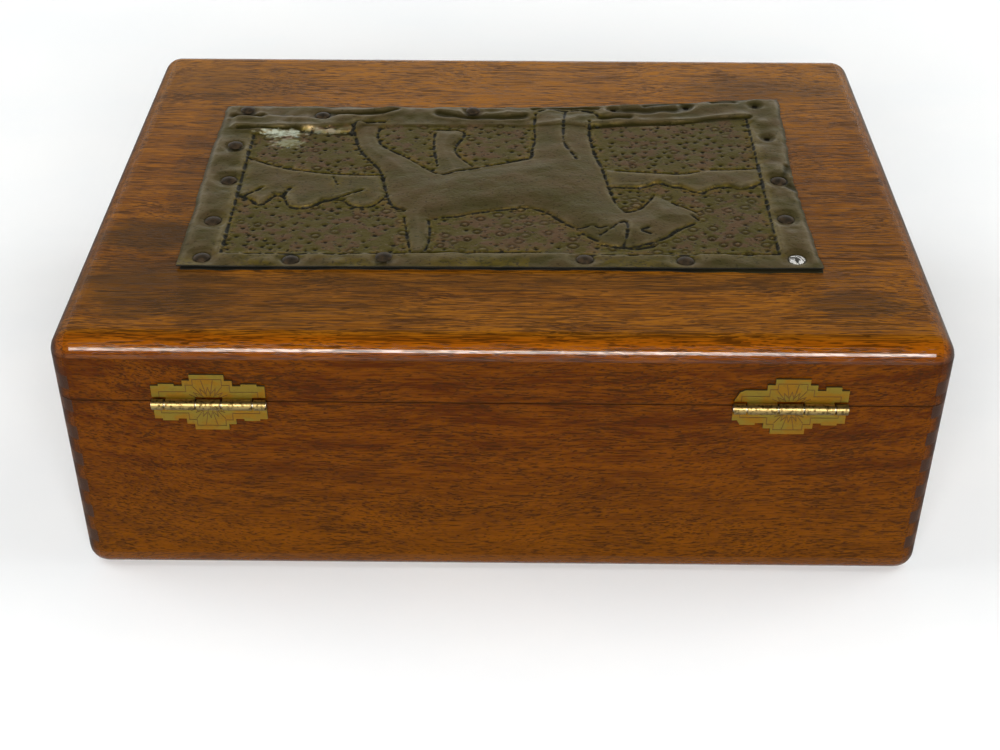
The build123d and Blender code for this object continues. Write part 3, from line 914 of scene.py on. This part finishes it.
# %% [markdown]
# ### Making the mesh
# The grid becomes the top face. Its rim is then carried down by the depth of the lip, back in
# under the edge, down to the wood, and closed by one flat face, so the mesh is a closed solid
# with a real lip. What the chisels did, and where shade and highlight are painted, is stored on
# the points as plain numbers, which the finish reads back with an Attribute node.

# %% Mesh from the height map
TUCK = 2.0
WANDER_LEFT, WANDER_RIGHT = 1.2, 0.8
FOOT_GAP = 0.02
CREASE_ANGLE = math.radians(55)


def rim_of(grid):
    """The grid's border points, once round."""
    return np.concatenate([grid[0, :-1], grid[:-1, -1], grid[-1, :0:-1], grid[:0:-1, 0]])


index = np.arange(X.size).reshape(X.shape)
top_points = np.stack([X.ravel(), Y.ravel(), board_top + height_map.ravel()], 1)
quads = np.stack([index[:-1, :-1], index[:-1, 1:], index[1:, 1:], index[1:, :-1]], -1).reshape(-1, 4)
rim = rim_of(index)
rim_points = top_points[rim]
middle_y = (low_corner.y + high_corner.y) / 2
inner = rim_points.copy()
inner[:, 0] = np.clip(inner[:, 0], low_corner.x + WANDER_LEFT + TUCK, high_corner.x - WANDER_RIGHT - TUCK)
inner[:, 1] = inner[:, 1] - np.sign(inner[:, 1] - middle_y) * TUCK
lip = rim_points - np.array([0, 0, LIP])
under = inner - np.array([0, 0, LIP])
ground = inner.copy()
ground[:, 2] = board_top + FOOT_GAP
loops = [rim]
all_points = [top_points]
for layer in (lip, under, ground):
    start = sum(len(p) for p in all_points)
    all_points.append(layer)
    loops.append(np.arange(start, start + len(layer)))
faces = quads.tolist()
for outer, lower in zip(loops, loops[1:]):
    nexts = np.roll(np.arange(len(rim)), -1)
    faces += np.stack([outer, lower, lower[nexts], outer[nexts]], 1).tolist()
faces.append(loops[-1][::-1].tolist())
points = np.concatenate(all_points)
plaque_mesh = bpy.data.meshes.new("embossed_plaque")
plaque_mesh.from_pydata((points * MM).tolist(), [], faces)
plaque_mesh.shade_smooth()
plaque_mesh.set_sharp_from_angle(angle=CREASE_ANGLE)
plaque = bpy.data.objects.new("embossed_plaque", plaque_mesh)
bpy.context.scene.collection.objects.link(plaque)


def keep_on_points(mesh, name, values, rest=0.0):
    """Stores one number for each point, with a plain value for the points of the rim's layers."""
    layer = mesh.attributes.new(name, "FLOAT", "POINT")
    numbers = np.full(len(mesh.vertices), rest, np.float32)
    numbers[:values.size] = values.ravel()
    layer.data.foreach_set("value", numbers)


stands_out = height_map - blurred(height_map, 4)
matting = panel * (1 - np.clip(smooth_work * 1.3, 0, 1))
edge_mask = 1 - ease(np.minimum(np.minimum(from_far, from_near), np.minimum(from_left, from_right)), 0, 0.5)
dirt = np.clip(stroke_mask + 0.9 * marks_mask + 0.50 * dishes_mask + 0.20 * hollow_mask, 0, 1)
# Painted shade: the last half millimetre of the near edge counts as fully dirty, which paints the dark line
# under the edge.
dirt = np.maximum(dirt, 1 - ease(from_near, 0.0, 0.5))
# The rim's layers below the top face are stored fully dirty, as painted shade on the lip.
keep_on_points(plaque_mesh, "dirt", dirt, 1.0)
# Raised places are marked for lightening: partly wear, partly a painted highlight on the ridges.
keep_on_points(plaque_mesh, "rubbed", ease(stands_out, 0.03, 0.22) * (1 - edge_mask))
# Sunk places are marked for darkening, partly dirt in hollows and partly painted shade; the rim and its
# layers get painted shade.
keep_on_points(plaque_mesh, "sunk", np.maximum(ease(-stands_out, 0.02, 0.22), 0.6 * edge_mask), 1.0)
keep_on_points(plaque_mesh, "ringed", rings_mask)
near_strip = (1 - ease(from_near, 2.0, 7.0)) * ease(soft_noise(X + 7, Y, 12.0, 43), 0.3, 0.7)
keep_on_points(plaque_mesh, "deposit", np.maximum(beside_mask * (1 - dog_raise * 0.8), near_strip))
# Painted shade: the black inside the empty nail holes.
keep_on_points(plaque_mesh, "pit", holes_mask)
keep_on_points(plaque_mesh, "matting", matting)
keep_on_points(plaque_mesh, "hollow", hollow_mask)
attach(plaque, "lid")
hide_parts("plaque")
print("plaque:", len(points), "points,", len(faces), "faces")

# %% [markdown]
# ### Tarnish
# The sheet has gone a dull olive brown, yellower beside the strokes and along the near edge,
# and pinker in patches of the matting. Dirt is nearly black in the strokes. Raised places are
# lightened, partly wear and partly painted highlight, pale specks are painted glints, and sunk
# places, the rim and the near edge are darkened, partly dirt and partly painted shade. A pale
# green bloom sits in one corner, a dull crust that hides the metal.


# %% Green bloom
BLOOM_SPOTS = (((67.5, -25.3), (7.5, 2.2), 0.75), ((66.0, -19.5), (5.0, 3.5), 0.32),
               ((55.0, -26.8), (6.5, 1.4), 0.18))


def bloom_share(tree, x, y, specks):
    """The pale green bloom: soft ovals with ragged insides."""
    ragged = tree.noise(tree.stretched((x, y, x), (3.0, 1.2, 3.0)), 4.0)
    share = 0.0
    for (middle_x, middle_y), (reach_x, reach_y), strength in BLOOM_SPOTS:
        across, up = (x - middle_x) * (1 / reach_x), (y - middle_y) * (1 / reach_y)
        away = across * across + up * up + (ragged - 0.5) * 5.0 + (specks - 0.5) * 2.0
        share = share + (1 - tree.step(away, -0.4, 1.3)) * strength
    return share


# %% Tarnished sheet
def tarnish(tree):
    x, y, z = tree.place_parts()
    dirt, pit, matted, hollow, deposit, rubbed, sunk, ringed = [
        tree.add("Attribute", {"attribute_name": name}, {}, "Fac")
        for name in ("dirt", "pit", "matting", "hollow", "deposit", "rubbed", "sunk", "ringed")]
    broad = tree.noise(tree.stretched((x, y, z), (18, 11, 11)), 3.0)
    spots = tree.noise(tree.stretched((x + 60, y, z), (4.0, 3.0, 3.0)), 4.0)
    specks = tree.noise(tree.stretched((x + 90, y, z), (0.9, 0.9, 0.9)), 2.0)
    colour = tree.mix(tree.step(broad, 0.38, 0.62), (0.110, 0.094, 0.036), (0.146, 0.108, 0.050))
    pink = tree.step(spots, 0.48, 0.62) * (matted * 0.8 + 0.15)
    colour = tree.mix(pink * 0.75, colour, (0.160, 0.092, 0.054))
    olive = tree.step(0.52 - spots, -0.04, 0.10) * (matted * 0.55 + deposit * 0.45 + 0.20)
    colour = tree.mix(olive, colour, (0.116, 0.098, 0.018))
    yellow = tree.step(specks * 0.5 + spots * 0.5, 0.44, 0.56) * deposit
    colour = tree.mix(yellow * 0.75, colour, (0.190, 0.145, 0.020))
    # Painted highlight, with some wear: raised places are lightened.
    colour = tree.mix(rubbed * 0.50, colour, (0.260, 0.215, 0.125))
    colour = tree.mix(ringed * 0.85, colour, (0.042, 0.022, 0.011))
    cells = tree.add("TexVoronoi", {"voronoi_dimensions": "2D"},
                     {"Vector": tree.stretched((x, y, z), (2.7, 2.7, 2.7)), "Scale": 1.0}, "Distance")
    pricks = (1 - tree.step(cells, 0.12, 0.20)) * matted * tree.step(spots, 0.46, 0.52)
    colour = tree.mix(pricks * 0.6, colour, (0.012, 0.010, 0.006))
    # Darkened: dirt in sunk places, plus painted shade at the sheet's rim and on the hem.
    colour = tree.mix(sunk * 0.60, colour, (0.045, 0.038, 0.010))
    colour = tree.mix(hollow * 0.80, colour, (0.036, 0.032, 0.006))
    # Painted glints: pale specks on the matting.
    pale = tree.step(specks, 0.64, 0.76) * matted
    colour = tree.mix(pale * 0.5, colour, (0.26, 0.23, 0.15))
    colour = tree.mix(tree.step(0.42 - specks, 0.0, 0.12) * 0.5, colour, (0.035, 0.030, 0.014))
    # Nearly black: dirt in strokes, marks and hollows, plus painted shade on the near edge, the lip and the
    # hem.
    colour = tree.mix(tree.step(dirt, 0.16, 0.62) * 0.94, colour, (0.009, 0.010, 0.009))
    bloom = bloom_share(tree, x, y, specks)
    colour = tree.mix(bloom, colour, (0.40, 0.44, 0.35))
    # Painted shade: the empty nail holes are painted black.
    colour = tree.mix(pit, colour, (0.004, 0.003, 0.002))
    crust = tree.step(bloom, 0.0, 0.2)
    metal = (0.80 - tree.step(dirt, 0.2, 0.8) * 0.5) * (1 - crust * 0.95)
    rough = 0.32 + matted * 0.08 + tree.step(spots, 0.3, 0.7) * 0.12 + crust * 0.3
    bump = tree.add("Bump", {}, {"Height": spots * 1.2 + specks * 0.5 - pricks, "Strength": 0.65,
                                 "Distance": 0.25 * MM})
    return {"Base Color": colour, "Metallic": metal, "Roughness": rough, "Normal": bump,
            "Specular IOR Level": 0.15}


plaque_mesh.materials.append(finish("tarnished_sheet", tarnish))

# %% [markdown]
# ### The folded hem
# The lip of the fold shows as a thin strip that widens towards both ends. It is painted dark, as the shade
# under the sheet's edge, lighter at its low-x end.

# %% Hem
HEM_THICK = 0.20
HEM_STEPS = 120
HEM_FROM, HEM_TO = low_corner.x + 1.6, high_corner.x - 2.0
HEM_TUCK = 2.6
hem_x = np.linspace(HEM_FROM, HEM_TO, HEM_STEPS + 1)
edge_y = np.interp(hem_x, *NEAR_EDGE)
proud = -0.15 + 0.7 * ease(hem_x, 40.0, 80.0) + 1.1 * ease(-hem_x, 25.0, 70.0)
proud += 0.7 * (soft_noise(hem_x, hem_x * 0, 5.0, 51) - 0.5)
outer_y, inner_y = edge_y + proud, edge_y - HEM_TUCK
lift = 0.10 * soft_noise(hem_x, hem_x * 0, 9.0, 52)
rings = []
for y_values, level in ((inner_y, FOOT_GAP), (outer_y, FOOT_GAP),
                        (outer_y, HEM_THICK), (inner_y, HEM_THICK)):
    rings.append(np.stack([hem_x, y_values, board_top + level + lift * (level > FOOT_GAP)], 1))
hem_points = np.stack(rings, 1).reshape(-1, 3)
turns = len(rings)
hem_faces = []
for n in range(HEM_STEPS):
    for k in range(turns):
        a, b = n * turns + k, n * turns + (k + 1) % turns
        hem_faces.append((a, b, b + turns, a + turns))
hem_faces.append(tuple(range(turns))[::-1])
hem_faces.append(tuple(HEM_STEPS * turns + k for k in range(turns)))
hem_mesh = bpy.data.meshes.new("plaque_hem")
hem_mesh.from_pydata((hem_points * MM).tolist(), [], hem_faces)
hem_mesh.materials.append(plaque_mesh.materials[0])
# Painted shade: the hem is stored as fully sunk and dirty, lighter towards its low-x end.
keep_on_points(hem_mesh, "sunk", np.ones(len(hem_points)))
keep_on_points(hem_mesh, "dirt", 0.45 + 0.55 * ease(hem_points[:, 0], -55.0, -35.0))
hem = bpy.data.objects.new("plaque_hem", hem_mesh)
bpy.context.scene.collection.objects.link(hem)
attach(hem, "lid")
print("hem:", len(hem_points), "points")

# %% Print the frame's corners
print("cad box   ", [[round(v, 4) for v in c] for c in cad_box])
